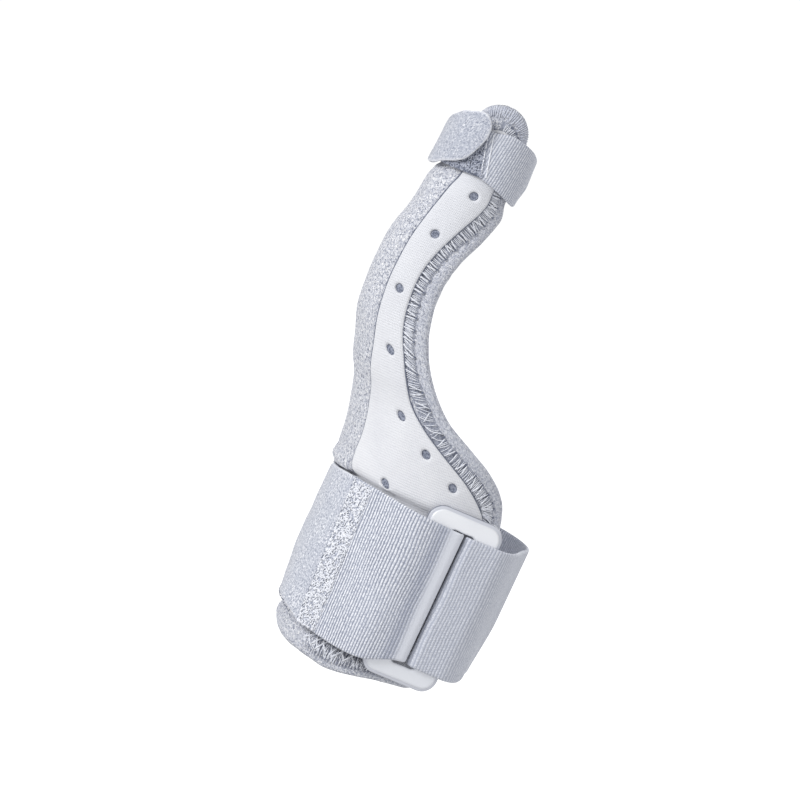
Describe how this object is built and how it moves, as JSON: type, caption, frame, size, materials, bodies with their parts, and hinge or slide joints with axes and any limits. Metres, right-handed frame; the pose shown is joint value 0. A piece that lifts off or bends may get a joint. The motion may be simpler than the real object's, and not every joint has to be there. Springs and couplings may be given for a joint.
{
  "type": "thumb spica splint",
  "caption": "Worn thumb and wrist splint: a padded knit gutter with a smooth stay cover, a thumb strap with a tab, and a wide wrist strap that doubles back through a rectangular ring.",
  "frame": {"origin": "middle of the hollow for the wrist, half way up the wrist strap", "axes": "+Z along the forearm towards the hand, -Y the face that shows the ring and the stay cover, -X the side of the thumb"},
  "size_m": [0.0902, 0.0684, 0.2011],
  "materials": {
    "knit": "heather grey padded knit",
    "smooth_cover": "pale smooth microfibre",
    "elastic": "ribbed elastic webbing",
    "brushed_tab": "pale brushed fabric",
    "ring_plastic": "satin white plastic"
  },
  "bodies": {
    "root": {"splint_panel": "knit", "stay_cover": "smooth_cover", "thumb_strap": "elastic", "thumb_strap_tab": "brushed_tab", "wrist_strap": "elastic", "wrist_strap_tab": "brushed_tab", "wrist_ring": "ring_plastic"}
  },
  "joints": []
}
